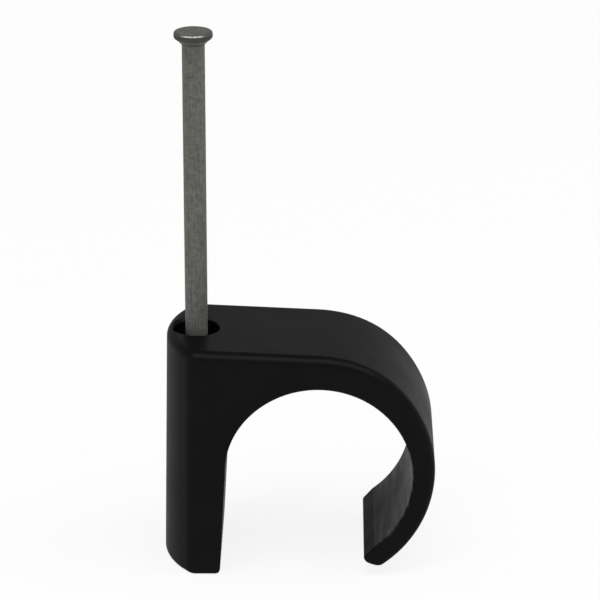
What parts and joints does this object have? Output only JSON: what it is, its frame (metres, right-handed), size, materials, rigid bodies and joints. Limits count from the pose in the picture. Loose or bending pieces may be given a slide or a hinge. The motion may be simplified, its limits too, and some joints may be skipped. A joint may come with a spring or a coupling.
{
  "type": "nail in cable clip",
  "caption": "Black moulded clip with a nail column and an arched hook that holds a round cable against a wall, its galvanised nail standing raised in the guide.",
  "frame": {"origin": "where the nail axis meets the wall face of the foot", "axes": "+Z along the nail away from the wall, +X from the nail towards the hook, +Y along the cable"},
  "size_m": [0.0304, 0.0164, 0.0608],
  "materials": {
    "clip_plastic": "satin black moulded plastic",
    "nail_steel": "dull mottled zinc over drawn wire"
  },
  "bodies": {
    "clip": {"clip_body": "clip_plastic"},
    "nail": {"nail": "nail_steel"}
  },
  "joints": [
    {"name": "nail_drive", "type": "slide", "parent": "clip", "child": "nail", "axis": [0, 0, -1], "range_m": [0, 0.0359]}
  ]
}
